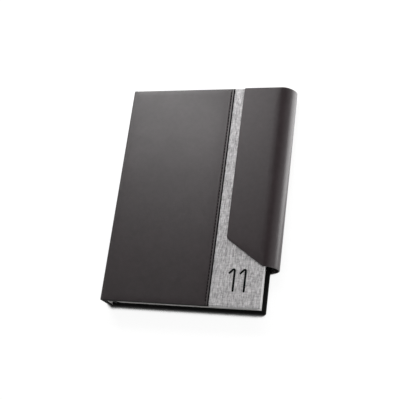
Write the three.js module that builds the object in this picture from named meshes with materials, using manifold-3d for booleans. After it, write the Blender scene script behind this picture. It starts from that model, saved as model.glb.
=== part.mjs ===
// A planner lying shut on its back cover: a hinged case whose back cover runs on
// round the fore edge as a magnetic closing flap, over a sewn text block with a
// rounded back.
// Millimetres. +X runs from the spine to the fore edge, +Y from tail to head, +Z up.
// Every piece is laid out from the tail end of the spine, on the floor; the last
// lines move the origin to the middle of the base.

import * as THREE from 'three';
import { mergeVertices } from 'three/addons/utils/BufferGeometryUtils.js';
import Module from 'manifold-3d';

// Overall size of the shut case
const height = 210;
const frontWidth = 149.7;
const backShortfall = 0.3;
const thickness = 25;

// Sheet and board thicknesses
const leather = 0.6;
const fabric = 0.6;
const lining = 0.25;
const board = 2.2;
const spineBoard = 1.6;
const endpaper = 0.2;
const spinePaper = 0.2;

// Glue lines, and the slack between pieces that move past each other
const glue = 0.05;
const slack = 0.2;

// Case details
const turnIn = 14;
const edgeRound = 1;
const spineRound = 1.6;
const leatherWidth = 103.3;
const lap = 6.3;
const boardInset = 4.5;
const turnInMargin = 3.5;

// The cover hinge: a line just over the leather, near the spine
const hingeInset = 1.75;
const hingeRise = 0.1;

// Text block
const headSquare = 3;
const foreEdgeSquare = 4;
const blockBack = 8;
const backRound = 4;
const signatureCount = 11;
const foldedEndpaperInset = 5;
const mull = 0.3;
const bandThickness = 1.4;

// Sheets at the front of the block that turn with the cover, the top one first, and how
// far behind the block's upper edge their common fold line lies
const leadingSheets = [
  { name: 'front_flyleaf', thick: endpaper },
  { name: 'first_leaves', thick: 0.8 },
  { name: 'second_leaves', thick: 1.0 },
];
const foldSetback = 1.2;

// Closing flap: the linen left showing beside it, its slanted corner, and how far short
// of the front cover's edge its slant and its flat stretch end
const linenShowing = 9.4;
const flapCornerHeight = 62;
const flapTail = 37.5;
const slantShortfall = 1.3;
const flatShortfall = 1.7;
const flapCornerRound = 4;
const flapHeadRound = 1.5;
const flapCard = 0.55;

// Gusset that carries the flap round the fore edge
const gussetBulge = 11;
const gussetLift = 0.1;
const gussetPower = 1.8;
const gussetSlit = 0.3;

// Magnets in the flap and steel plates in the cover
const magnetRadius = 5;
const magnetThickness = 0.5;
const magnetInset = 9.5;
const magnetsFromHead = [35, 120];
const keeperRadius = 7;
const keeperThickness = 0.8;

// Fineness of round stretches
const arcSteps = 4;
const foldSteps = 6;
const gussetSteps = 12;
const discSteps = 32;

// Places across the width
const backWidth = frontWidth - backShortfall;
const lapStart = leatherWidth - lap;
const flapLeft = leatherWidth + linenShowing;
const flapDiagonalEnd = frontWidth - slantShortfall;
const flapFlatEnd = frontWidth - flatShortfall;
const gussetReach = backWidth + gussetBulge;
const gussetMiddle = thickness / 2 + gussetLift;

// Heights in the back half, from the floor up
const backBoardLow = leather + glue;
const backBoardHigh = backBoardLow + board;
const backTurnLow = backBoardHigh + glue;
const backTurnHigh = backTurnLow + leather;
const backPasteLow = backTurnHigh + glue;
const backFlyLow = backPasteLow + endpaper + glue;
const backFlyHigh = backFlyLow + endpaper;

// Heights in the front half, from the top down
const leatherUnder = thickness - leather;
const fabricFace = leatherUnder - glue;
const fabricUnder = fabricFace - fabric;
const frontBoardHigh = fabricUnder - glue;
const frontBoardLow = frontBoardHigh - board;
const frontTurnHigh = frontBoardLow - glue;
const frontTurnLow = frontTurnHigh - Math.max(leather, fabric);
const frontPasteHigh = frontTurnLow - glue;
const frontPasteLow = frontPasteHigh - endpaper;

// The flap lies over the fabric
const flapLow = fabricFace + slack;
const flapCardLow = flapLow + lining + glue;
const flapCardHigh = flapCardLow + flapCard;
const flapLeatherUnder = flapCardHigh + glue;
const flapFace = flapLeatherUnder + leather;

// The spine, from its outer face inwards
const spineBoardIn = leather + glue;
const spineTurnIn = spineBoardIn + spineBoard + glue;
const spineLiningIn = spineTurnIn + leather + glue;
const spineBoardLow = spineRound + glue;
const spineBoardHigh = thickness - spineRound - glue;

// The block's back is an arc over its whole thickness
const blockLow = backFlyHigh + glue;
const blockHigh = frontPasteLow - glue;
const blockMiddle = (blockLow + blockHigh) / 2;
const blockHalf = (blockHigh - blockLow) / 2;
const backRadius = (blockHalf ** 2 + backRound ** 2) / (2 * backRound);
const backCentre = blockBack + backRadius;
const leafWidth = frontWidth - foreEdgeSquare - blockBack - backRound;
const leadingStack = leadingSheets.reduce((sum, sheet) => sum + sheet.thick + glue, 0);
const signatureHigh = blockHigh - leadingStack;
const signaturePitch = (signatureHigh - blockLow) / signatureCount;

// X of the block's back at a height, or of a line some way under it, and of the
// hollowed fore edge
function backAt(z, depth = 0) {
  return backCentre - Math.sqrt((backRadius - depth) ** 2 - (z - blockMiddle) ** 2);
}

function foreEdgeAt(z) {
  return backAt(z) + leafWidth;
}

// Materials

function pvcLeather() {
  return new THREE.MeshStandardMaterial({ color: 0x4b494a, roughness: 0.55 });
}

function linen() {
  return new THREE.MeshStandardMaterial({ color: 0xb5b3b4, roughness: 0.9 });
}

function blackCloth() {
  return new THREE.MeshStandardMaterial({ color: 0x151415, roughness: 0.85 });
}

function greyboard() {
  return new THREE.MeshStandardMaterial({ color: 0x8b8780, roughness: 0.95 });
}

function blackPaper() {
  return new THREE.MeshStandardMaterial({ color: 0x181718, roughness: 0.8 });
}

function whitePaper() {
  return new THREE.MeshStandardMaterial({ color: 0xece9e1, roughness: 0.9 });
}

function foam() {
  return new THREE.MeshStandardMaterial({ color: 0x6f6d6b, roughness: 1 });
}

function steel() {
  return new THREE.MeshStandardMaterial({ color: 0xa9abad, roughness: 0.35, metalness: 1 });
}

// Solids: three.js geometries that are joined and cut

const wasm = await Module();
wasm.setup();

function solidOf(geometry) {
  const bare = geometry.clone();
  bare.deleteAttribute('normal');
  bare.deleteAttribute('uv');
  const merged = mergeVertices(bare);
  return new wasm.Manifold(new wasm.Mesh({
    numProp: 3,
    vertProperties: new Float32Array(merged.attributes.position.array),
    triVerts: new Uint32Array(merged.index.array),
  }));
}

function geometryOf(solid) {
  const { vertProperties, triVerts } = solid.getMesh();
  const geometry = new THREE.BufferGeometry();
  geometry.setAttribute('position', new THREE.BufferAttribute(vertProperties, 3));
  geometry.setIndex(new THREE.BufferAttribute(triVerts, 1));
  return geometry;
}

function join(first, ...others) {
  return geometryOf(others.reduce((sum, next) => sum.add(solidOf(next)), solidOf(first)));
}

function cut(blank, ...tools) {
  return geometryOf(tools.reduce((rest, tool) => rest.subtract(solidOf(tool)), solidOf(blank)));
}

function common(first, ...others) {
  return geometryOf(others.reduce((rest, next) => rest.intersect(solidOf(next)), solidOf(first)));
}

// A block between two corners
function slab(x0, x1, y0, y1, z0, z1) {
  return new THREE.BoxGeometry(x1 - x0, y1 - y0, z1 - z0)
    .translate((x0 + x1) / 2, (y0 + y1) / 2, (z0 + z1) / 2);
}

// An outline in X and Y, raised from z0 to z1
function raise(points, z0, z1) {
  const shape = new THREE.Shape(points);
  return new THREE.ExtrudeGeometry(shape, { bevelEnabled: false, depth: z1 - z0 })
    .translate(0, 0, z0);
}

// An outline in X and Z, run along Y
function runAlongY(points, y0, y1) {
  const shape = new THREE.Shape(points);
  return new THREE.ExtrudeGeometry(shape, { bevelEnabled: false, depth: y1 - y0 })
    .rotateX(Math.PI / 2)
    .translate(0, y1, 0);
}

// An outline in Y and Z, run along X
function runAlongX(points, x0, x1) {
  const shape = new THREE.Shape(points);
  const turned = new THREE.Matrix4().makeBasis(
    new THREE.Vector3(0, 1, 0),
    new THREE.Vector3(0, 0, 1),
    new THREE.Vector3(1, 0, 0),
  );
  return new THREE.ExtrudeGeometry(shape, { bevelEnabled: false, depth: x1 - x0 })
    .applyMatrix4(turned)
    .translate(x0, 0, 0);
}

// A disc standing on z0
function disc(x, y, z0, z1, radius) {
  return new THREE.CylinderGeometry(radius, radius, z1 - z0, discSteps)
    .rotateX(Math.PI / 2)
    .translate(x, y, (z0 + z1) / 2);
}

// The points of an outline whose corners are [x, y] where sharp, [x, y, r] where round
function rounded(corners) {
  const count = corners.length;
  return corners.flatMap(([x, y, radius = 0], i) => {
    const corner = new THREE.Vector2(x, y);
    if (radius === 0) return [corner];
    const [xBefore, yBefore] = corners[(i + count - 1) % count];
    const [xAfter, yAfter] = corners[(i + 1) % count];
    const back = new THREE.Vector2(xBefore, yBefore).sub(corner).normalize();
    const ahead = new THREE.Vector2(xAfter, yAfter).sub(corner).normalize();
    const halfAngle = Math.acos(back.dot(ahead)) / 2;
    const middle = back.clone().add(ahead).setLength(radius / Math.sin(halfAngle)).add(corner);
    const from = back.clone().multiplyScalar(radius / Math.tan(halfAngle)).add(corner).sub(middle);
    const sweep = Math.sign(ahead.cross(back)) * (Math.PI - 2 * halfAngle);
    return Array.from({ length: arcSteps + 1 }, (_, step) => from.clone()
      .rotateAround(new THREE.Vector2(), (sweep * step) / arcSteps)
      .add(middle));
  });
}

// A rectangle with its four corners rounded
function roundedRectangle(x0, x1, y0, y1, radius) {
  return rounded([[x0, y0, radius], [x1, y0, radius], [x1, y1, radius], [x0, y1, radius]]);
}

// A slab whose long edges and upright corners are all rounded
function softSlab(x0, x1, y0, y1, z0, z1, radius) {
  return common(
    runAlongX(roundedRectangle(y0, y1, z0, z1, radius), x0, x1),
    runAlongY(roundedRectangle(x0, x1, z0, z1, radius), y0, y1),
    raise(roundedRectangle(x0, x1, y0, y1, radius), z0, z1),
  );
}

// The scene graph: a fixed part, and one group on each hinge line

const planner = new THREE.Group();

function hinged(x, z) {
  const body = new THREE.Group();
  body.position.set(x, 0, z);
  planner.add(body);
  return body;
}

function add(body, name, geometry, material) {
  const mesh = new THREE.Mesh(geometry, material);
  mesh.name = name;
  mesh.position.copy(body.position).negate();
  body.add(mesh);
}

const fixed = new THREE.Group();
planner.add(fixed);
const hingeX = hingeInset;
const hingeZ = thickness + hingeRise;
const frontCover = hinged(hingeX, hingeZ);
const flap = hinged(gussetReach + gussetSlit / 2, gussetMiddle);

// Front cover: a board with a leather face to the left and a linen face to the right,
// the leather lapped over the linen and both turned in over the board's edges

const magnetX = flapLeft + magnetInset;
const magnetYs = magnetsFromHead.map((fromHead) => height - fromHead);

function frontBoard() {
  const blank = slab(boardInset, frontWidth - fabric - glue, leather + glue,
    height - leather - glue, frontBoardLow, frontBoardHigh);
  const pocketFloor = frontBoardHigh - keeperThickness - glue;
  const pockets = magnetYs.map((y) => disc(magnetX, y, pocketFloor, thickness,
    keeperRadius + glue));
  return cut(blank, ...pockets);
}

function frontLeather() {
  const wrapStart = boardInset - glue;
  const low = frontTurnHigh - leather;
  const section = rounded([
    [turnIn, low],
    [turnIn, frontTurnHigh],
    [leather, frontTurnHigh],
    [leather, leatherUnder],
    [height - leather, leatherUnder],
    [height - leather, frontTurnHigh],
    [height - turnIn, frontTurnHigh],
    [height - turnIn, low],
    [height, low, edgeRound],
    [height, thickness, edgeRound],
    [0, thickness, edgeRound],
    [0, low, edgeRound],
  ]);
  const wrap = runAlongX(section, wrapStart, lapStart);
  const faceEdge = leather / 2;
  const face = runAlongY(rounded([
    [hingeX + slack, leatherUnder],
    [leatherWidth, leatherUnder],
    [leatherWidth, thickness, faceEdge],
    [hingeX + slack, thickness],
  ]), 0, height);
  const ends = runAlongX(roundedRectangle(0, height, low, thickness, edgeRound),
    0, leatherWidth);
  return join(wrap, common(face, ends));
}

function frontFabric() {
  const start = lapStart + glue;
  const skin = common(
    softSlab(start - edgeRound, frontWidth, 0, height, frontTurnHigh - fabric, fabricFace,
      edgeRound),
    slab(start, frontWidth, 0, height, 0, thickness),
  );
  const pocket = slab(0, frontWidth - fabric, fabric, height - fabric, frontTurnHigh,
    fabricUnder);
  const opening = slab(0, frontWidth - turnIn, turnIn, height - turnIn, 0, frontBoardLow);
  return cut(skin, pocket, opening);
}

add(frontCover, 'front_board', frontBoard(), greyboard());
add(frontCover, 'front_pad',
  slab(boardInset, lapStart - glue, leather + glue, height - leather - glue,
    fabricUnder, fabricFace), foam());
add(frontCover, 'front_leather', frontLeather(), pvcLeather());
add(frontCover, 'front_fabric', frontFabric(), linen());
add(frontCover, 'front_pastedown',
  slab(foldedEndpaperInset, frontWidth - turnInMargin, headSquare, height - headSquare,
    frontPasteLow, frontPasteHigh), blackPaper());
magnetYs.forEach((y, i) => {
  const top = frontBoardHigh - glue / 2;
  add(frontCover, `keeper_plate_${i + 1}`,
    disc(magnetX, y, top - keeperThickness, top, keeperRadius), steel());
});

// Spine: leather round a narrow board, with a pale paper inside

function spineLeather() {
  const stripEnd = hingeX - slack;
  const backEnd = boardInset - 2 * glue;
  const skin = runAlongY(rounded([
    [0, 0, spineRound],
    [backEnd, 0],
    [backEnd, leather],
    [leather, leather, spineRound - leather],
    [leather, thickness - leather, spineRound - leather],
    [stripEnd + spineRound, thickness - leather],
    [stripEnd + spineRound, thickness],
    [0, thickness, spineRound],
  ]), 0, height);
  const pastHinge = slab(stripEnd, stripEnd + 2 * spineRound, 0, height,
    thickness - 2 * leather, thickness + leather);
  const inner = spineTurnIn + leather;
  const tailWall = slab(leather / 2, inner, 0, leather, spineBoardLow, spineBoardHigh);
  const headWall = tailWall.clone().translate(0, height - leather, 0);
  const tailTurn = slab(spineTurnIn, inner, 0, turnIn, spineBoardLow, spineBoardHigh);
  const headTurn = tailTurn.clone().translate(0, height - turnIn, 0);
  return join(cut(skin, pastHinge), tailWall, headWall, tailTurn, headTurn);
}

add(fixed, 'spine_board',
  slab(spineBoardIn, spineBoardIn + spineBoard, leather + glue, height - leather - glue,
    spineBoardLow, spineBoardHigh), greyboard());
add(fixed, 'spine_leather', spineLeather(), pvcLeather());
add(fixed, 'spine_lining',
  slab(spineLiningIn, spineLiningIn + spinePaper, headSquare / 2, height - headSquare / 2,
    spineBoardLow, spineBoardHigh), whitePaper());

// Back cover: a board in a leather tray, lined by a folded endpaper

function backLeather() {
  const start = boardInset - glue;
  const skin = common(
    softSlab(start - edgeRound, backWidth, 0, height, 0, backTurnHigh, edgeRound),
    slab(start, backWidth, 0, height, 0, thickness),
  );
  const pocket = slab(0, backWidth - leather, leather, height - leather, leather, backTurnLow);
  const opening = slab(0, backWidth - turnIn, turnIn, height - turnIn, backBoardHigh, thickness);
  return cut(skin, pocket, opening);
}

function backEndpaper() {
  const fold = foldedEndpaperInset;
  const flyEnd = foreEdgeAt(blockLow);
  const pasteEnd = backWidth - turnInMargin;
  return runAlongY([
    new THREE.Vector2(fold, backPasteLow),
    new THREE.Vector2(pasteEnd, backPasteLow),
    new THREE.Vector2(pasteEnd, backPasteLow + endpaper),
    new THREE.Vector2(fold + endpaper, backPasteLow + endpaper),
    new THREE.Vector2(fold + endpaper, backFlyLow),
    new THREE.Vector2(flyEnd, backFlyLow),
    new THREE.Vector2(flyEnd, backFlyHigh),
    new THREE.Vector2(fold, backFlyHigh),
  ], headSquare, height - headSquare);
}

add(fixed, 'back_board',
  slab(boardInset, backWidth - leather - glue, leather + glue, height - leather - glue,
    backBoardLow, backBoardHigh), greyboard());
add(fixed, 'back_leather', backLeather(), pvcLeather());
add(fixed, 'back_endpaper', backEndpaper(), blackPaper());

// Text block: folded signatures whose folds follow the rounded back

function signature(low, high) {
  const foldRadius = (high - low) / 2;
  const middle = low + foldRadius;
  const centreX = backAt(middle, foldRadius);
  const fold = Array.from({ length: foldSteps + 1 }, (_, step) => {
    const angle = Math.PI * (0.5 + step / foldSteps);
    return new THREE.Vector2(centreX + foldRadius * Math.cos(angle),
      middle + foldRadius * Math.sin(angle));
  });
  return runAlongY([
    ...fold,
    new THREE.Vector2(foreEdgeAt(low), low),
    new THREE.Vector2(foreEdgeAt(middle), middle),
    new THREE.Vector2(foreEdgeAt(high), high),
  ], headSquare, height - headSquare);
}

for (let i = 0; i < signatureCount; i += 1) {
  const low = blockLow + i * signaturePitch;
  const name = `signature_${String(i + 1).padStart(2, '0')}`;
  add(fixed, name, signature(low, low + signaturePitch - glue), whitePaper());
}

// A gauze lining glued over the folds, as an arc about the back's centre
function mullLining() {
  const inner = backRadius + glue;
  const outer = inner + mull;
  const lowAngle = Math.PI + Math.asin((blockMiddle - blockLow) / outer);
  const highAngle = Math.PI - Math.asin((signatureHigh - blockMiddle) / outer);
  const arc = (radius) => Array.from({ length: gussetSteps + 1 }, (_, step) => {
    const angle = THREE.MathUtils.lerp(lowAngle, highAngle, step / gussetSteps);
    return new THREE.Vector2(backCentre + radius * Math.cos(angle),
      blockMiddle + radius * Math.sin(angle));
  });
  return runAlongY([...arc(outer), ...arc(inner).reverse()], headSquare, height - headSquare);
}

// A rolled band at one end of the back, its axis on the back's arc
class BackArc extends THREE.Curve {
  constructor(y) {
    super();
    this.y = y;
    const half = signatureHigh - blockMiddle - bandThickness;
    this.halfAngle = Math.asin(half / backRadius);
  }

  getPoint(t, target = new THREE.Vector3()) {
    const angle = Math.PI + this.halfAngle * (1 - 2 * t);
    return target.set(backCentre + backRadius * Math.cos(angle), this.y,
      blockMiddle + backRadius * Math.sin(angle));
  }
}

function backBand(y) {
  const roll = new THREE.Shape().absarc(0, 0, bandThickness / 2, 0, 2 * Math.PI);
  return new THREE.ExtrudeGeometry(roll, {
    bevelEnabled: false,
    curveSegments: 2 * arcSteps,
    steps: gussetSteps,
    extrudePath: new BackArc(y),
  });
}

const bandOffset = headSquare - glue - bandThickness / 2;
add(fixed, 'mull', mullLining(), blackCloth());
add(fixed, 'tail_band', backBand(bandOffset), blackCloth());
add(fixed, 'head_band', backBand(height - bandOffset), blackCloth());

// The sheets that turn with the cover, one body each, about one line over the fold
const foldX = backAt(blockHigh) - foldSetback;
let sheetHigh = blockHigh;
leadingSheets.forEach(({ name, thick }) => {
  const sheetLow = sheetHigh - thick;
  const middle = (sheetLow + sheetHigh) / 2;
  add(hinged(foldX, blockHigh), name,
    slab(Math.max(foldX, backAt(middle)), foreEdgeAt(middle), headSquare,
      height - headSquare, sheetLow, sheetHigh),
    name === 'front_flyleaf' ? blackPaper() : whitePaper());
  sheetHigh = sheetLow - glue;
});

// Gusset: each half swells out from a flat sheet to the apex, on one side of the slit

const upperHalf = { start: flapFlatEnd, z: flapFace, apexZ: gussetMiddle + gussetSlit / 2 };
const lowerHalf = { start: backWidth + glue, z: 0, apexZ: gussetMiddle - gussetSlit / 2 };

// Points at a depth under the gusset's outer face, from the flat sheet to the apex
function gussetLine({ start, z, apexZ }, depth) {
  const reach = gussetReach - start;
  const rise = z - apexZ;
  const power = 2 / gussetPower;
  return Array.from({ length: gussetSteps + 1 }, (_, step) => {
    const angle = (step / gussetSteps) * (Math.PI / 2);
    const across = Math.sin(angle);
    const up = Math.cos(angle);
    const outward = new THREE.Vector2(
      across ** (2 - power) / reach,
      up ** (2 - power) / rise,
    ).setLength(depth);
    return new THREE.Vector2(start + reach * across ** power, apexZ + rise * up ** power)
      .sub(outward);
  });
}

function gussetStrip(half, shallow, deep) {
  return runAlongY([...gussetLine(half, shallow), ...gussetLine(half, deep).reverse()],
    flapTail, height);
}

const liningDepth = leather + glue;

add(fixed, 'gusset_leather', gussetStrip(lowerHalf, 0, leather), pvcLeather());
add(fixed, 'gusset_lining_lower',
  gussetStrip(lowerHalf, liningDepth, liningDepth + lining), blackCloth());
add(flap, 'gusset_lining_upper',
  gussetStrip(upperHalf, liningDepth, liningDepth + lining), blackCloth());

// Flap: one leather over a card and round its edges, with a cloth lining

// The flap's plan, drawn in by an inset from its free edges and cut off at a right limit
function flapPlan(inset, right) {
  const slope = (flapTail - flapCornerHeight) / (flapDiagonalEnd - flapLeft);
  const lift = inset * Math.hypot(1, slope);
  const left = flapLeft + inset;
  const tail = flapTail + inset;
  const leftCorner = flapCornerHeight + slope * inset + lift;
  const diagonalAtTail = flapLeft + (tail - flapCornerHeight - lift) / slope;
  const corners = [
    [left, height - inset, Math.max(flapHeadRound - inset, leather / 2)],
    [left, leftCorner, flapCornerRound - inset],
  ];
  const diagonalRun = flapCornerHeight + lift + slope * (right - flapLeft);
  if (diagonalAtTail + flapCornerRound < right) {
    corners.push([diagonalAtTail, tail, flapCornerRound - inset], [right, tail]);
  } else {
    corners.push([right, diagonalRun]);
  }
  corners.push([right, height - inset]);
  return rounded(corners);
}

function flapLeather() {
  const outside = gussetLine(upperHalf, 0);
  const inside = gussetLine(upperHalf, leather).reverse();
  const panelEnd = flapFlatEnd - leather;
  const section = runAlongY([
    ...rounded([
      [flapLeft, flapLow],
      [flapLeft, flapFace, leather],
      [flapFlatEnd, flapFace],
    ]).slice(0, -1),
    ...outside,
    ...inside,
    new THREE.Vector2(panelEnd, flapLeatherUnder),
    new THREE.Vector2(panelEnd, flapLow),
  ], flapTail, height);
  const outline = raise(flapPlan(0, gussetReach + leather), 0, thickness + 2 * leather + flapCard);
  const pocket = raise(flapPlan(leather, flapFlatEnd), 0, flapLeatherUnder);
  const underPanel = common(pocket, slab(0, flapFlatEnd - leather / 2, 0, height, flapLow - leather,
    thickness + leather + flapCard));
  return cut(common(section, outline), underPanel);
}

const cardInset = leather + glue;
const magnetLow = flapCardLow + glue / 2;

add(flap, 'flap_leather', flapLeather(), pvcLeather());
add(flap, 'flap_card', cut(
  raise(flapPlan(cardInset, flapFlatEnd - slack), flapCardLow, flapCardHigh),
  ...magnetYs.map((y) => disc(magnetX, y, 0, thickness + 2 * leather, magnetRadius + glue)),
), greyboard());
add(flap, 'flap_lining',
  raise(flapPlan(cardInset, flapFlatEnd - slack), flapLow, flapLow + lining), blackCloth());
magnetYs.forEach((y, i) => {
  add(flap, `flap_magnet_${i + 1}`,
    disc(magnetX, y, magnetLow, magnetLow + magnetThickness, magnetRadius), steel());
});

// Move the origin to the middle of the base
planner.position.set(-gussetReach / 2, -height / 2, 0);

export default planner;
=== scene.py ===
# %% [markdown]
# # A hardcover planner, dressed
# The frame holds the planner's boards, papers, page block, magnets and hinges. This
# script dresses it: leather, linen and cloth are cut as flat sheets, folded round their
# boards and given their finish, and a camera and soft lamps are set round the result.

# %% Load the frame
import math
from collections import namedtuple

import bmesh
import bpy
import numpy as np
from mathutils import Matrix, Vector


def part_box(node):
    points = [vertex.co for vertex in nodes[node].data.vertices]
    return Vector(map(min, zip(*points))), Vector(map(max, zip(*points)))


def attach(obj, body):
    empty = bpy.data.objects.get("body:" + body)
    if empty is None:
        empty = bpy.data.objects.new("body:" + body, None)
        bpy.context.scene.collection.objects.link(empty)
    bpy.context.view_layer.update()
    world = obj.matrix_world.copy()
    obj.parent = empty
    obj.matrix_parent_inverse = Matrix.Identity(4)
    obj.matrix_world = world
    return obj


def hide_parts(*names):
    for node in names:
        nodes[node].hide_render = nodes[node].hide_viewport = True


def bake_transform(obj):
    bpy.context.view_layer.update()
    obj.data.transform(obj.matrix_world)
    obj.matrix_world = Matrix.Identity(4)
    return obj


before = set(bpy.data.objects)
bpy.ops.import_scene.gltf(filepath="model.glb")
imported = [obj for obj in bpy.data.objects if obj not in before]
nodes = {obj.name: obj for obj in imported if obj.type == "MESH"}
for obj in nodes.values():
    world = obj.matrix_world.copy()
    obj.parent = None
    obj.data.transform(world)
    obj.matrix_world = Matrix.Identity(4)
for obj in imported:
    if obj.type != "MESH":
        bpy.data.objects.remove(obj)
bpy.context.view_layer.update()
MM = 0.001
print("frame nodes:", len(nodes))

# %% [markdown]
# ## Places to build from
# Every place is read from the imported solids, so that a sheet lies where its plain solid
# does. X runs from the spine to the fore edge, Y from tail to head and Z up.

# %% Places read from the frame
back_box, front_box, fabric_box, flap_box, gusset_box = [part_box(name) for name in (
    "back_leather", "front_leather", "front_fabric", "flap_leather", "gusset_leather")]
SPINE_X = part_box("spine_leather")[0].x
TAIL_Y, HEAD_Y = back_box[0].y, back_box[1].y
HEIGHT = HEAD_Y - TAIL_Y
BACK_FORE_X, BACK_TOP = back_box[1].x, back_box[1].z
LEATHER_EDGE_X, LEATHER_FACE = front_box[1].x, front_box[1].z
COVER_UNDER = front_box[0].z
LAP_START_X = fabric_box[0].x
FORE_X, FABRIC_FACE = fabric_box[1].x, fabric_box[1].z
FLAP_LEFT_X, FLAP_TAIL_Y = flap_box[0].x, flap_box[0].y
FLAP_FACE = flap_box[1].z
GUSSET_START_X, GUSSET_X = gusset_box[0].x, gusset_box[1].x
print(f"case {FORE_X - SPINE_X:.4f} by {HEIGHT:.4f} by {LEATHER_FACE:.4f} m")

# %% [markdown]
# ## The camera
# The photograph was taken from above the tail edge and somewhat to the right, through a
# fairly long lens. The camera is given by its place and by the directions of its own
# right and up axes.

# %% Camera
EYE = Vector((0.25742, -0.26356, 0.72757))
CAMERA_RIGHT = Vector((0.94648, 0.12630, -0.29703))
CAMERA_UP = Vector((-0.01608, 0.93757, 0.34742))
LENS = 78.1


def placed(name, data):
    thing = bpy.data.objects.new(name, data)
    bpy.context.scene.collection.objects.link(thing)
    return thing


camera_data = bpy.data.cameras.new("camera")
camera_data.lens = LENS
camera_data.clip_start = 0.01
camera = placed("camera", camera_data)
camera_back = CAMERA_RIGHT.cross(CAMERA_UP)
turn = Matrix((CAMERA_RIGHT, CAMERA_UP, camera_back)).transposed()
camera.matrix_world = Matrix.Translation(EYE) @ turn.to_4x4()
bpy.context.scene.camera = camera
bpy.context.scene.view_settings.view_transform = "Standard"
print("camera back axis:", tuple(round(c, 4) for c in camera_back))

# %% [markdown]
# ## Finishes written as formulas
# A finish is a small tree of nodes. A Value stands for one output in such a tree. It can
# be added and multiplied like a number, so each finish below reads as a formula. In
# add_node, a name in lower case is a setting of the node and any other name is one of its
# sockets. Values without a name fill the sockets in their order.


# %% Values and nodes
class Value:
    def __init__(self, tree, socket):
        self.tree, self.socket = tree, socket

    def math(self, operation, *others):
        return add_node(self.tree, "ShaderNodeMath", self, *others, operation=operation)[0]

    def __add__(self, other):
        return self.math("ADD", other)

    def __mul__(self, other):
        return self.math("MULTIPLY", other)

    def __rsub__(self, number):
        return self.math("MULTIPLY_ADD", -1.0, number)


class Outputs:
    def __init__(self, tree, node):
        self.tree, self.node = tree, node

    def __getitem__(self, key):
        return Value(self.tree, self.node.outputs[key])


def fill(tree, node, sockets):
    for key, value in sockets:
        socket = node.inputs[key if isinstance(key, int) else key.replace("_", " ")]
        if isinstance(value, Value):
            tree.links.new(value.socket, socket)
        elif value is not None:
            socket.default_value = value


def add_node(tree, kind, *numbered, **named):
    node = tree.nodes.new(kind)
    for setting in [name for name in named if name.islower()]:
        setattr(node, setting, named.pop(setting))
    fill(tree, node, [*enumerate(numbered), *named.items()])
    return Outputs(tree, node)


def make_finish(name, recipe, *details):
    finish = bpy.data.materials.new(name)
    finish.use_nodes = True
    tree = finish.node_tree
    place = add_node(tree, "ShaderNodeTexCoord")["Object"]
    fill(tree, tree.nodes["Principled BSDF"], recipe(place, *details).items())
    print("finish:", name)
    return finish


# %% The nodes that the finishes share
def mix(share, first, second):
    before_colours = [None] * 5
    return add_node(share.tree, "ShaderNodeMix", share, *before_colours, first, second,
                    data_type="RGBA")[2]


def ramp(value, low, high, to_low=0.0, to_high=1.0, curve="LINEAR"):
    return add_node(value.tree, "ShaderNodeMapRange", value, low, high, to_low, to_high,
                    interpolation_type=curve)[0]


def stretched(place, across, along, up=1.0):
    return add_node(place.tree, "ShaderNodeMapping", Vector=place, Scale=(across, along, up))[0]


def split(place):
    return add_node(place.tree, "ShaderNodeSeparateXYZ", place)


def noise(place, scale, detail=2.0, roughness=0.5, output="Fac"):
    return add_node(place.tree, "ShaderNodeTexNoise", Vector=place, Scale=scale,
                    Detail=detail, Roughness=roughness)[output]


def wave(place, direction, scale, distortion):
    return add_node(place.tree, "ShaderNodeTexWave", Vector=place, Scale=scale,
                    Distortion=distortion, bands_direction=direction)["Fac"]


def bump(height, distance, strength):
    return add_node(height.tree, "ShaderNodeBump", Height=height, Distance=distance,
                    Strength=strength)[0]


# Share of lighter colour per point: painted highlight, and on leather ridges rubbed wear too.
def read_rub_and_highlight(place):
    return add_node(place.tree, "ShaderNodeAttribute", attribute_name="rub_and_highlight")["Fac"]


def grey(level, warmth=0.0):
    return (level * (1 + warmth), level, level * (1 - warmth), 1.0)


print("node helpers ready")

# %% [markdown]
# ## Charcoal leather
# The cover's leather is coated cloth with a fine pebbled grain: rounded grains about a
# millimetre across with narrow valleys between them, under a low sheen. Cells of a
# Voronoi texture give the grains, eased so that their tops are flat and only the valleys
# are cut in. Two slower noises make height, colour and gloss vary from place to place. An
# attribute that some pieces carry on their ridges lightens the skin there: partly rubbed
# skin, partly a painted highlight where the seam's ridge and the spine's fold catch light.
# The flap's skin is made a little duller than the cover's, because it looks darker beside
# it. Why it does is a guess.

# %% Charcoal leather
GRAINS_PER_METRE = 1000.0
GRAIN_WANDER = (0.0007,) * 3
GRAIN_RELIEF = 0.00005
LEATHER_ROUGHNESS = 0.33
LEATHER_DARK = (0.0190, 0.0132, 0.0146, 1.0)
LEATHER_LIGHT = (0.0350, 0.0265, 0.0285, 1.0)
# Lighter skin on ridges and the spine's fold: rubbed wear and a painted highlight.
LEATHER_RUB_AND_HIGHLIGHT = (0.150, 0.143, 0.145, 1.0)


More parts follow.
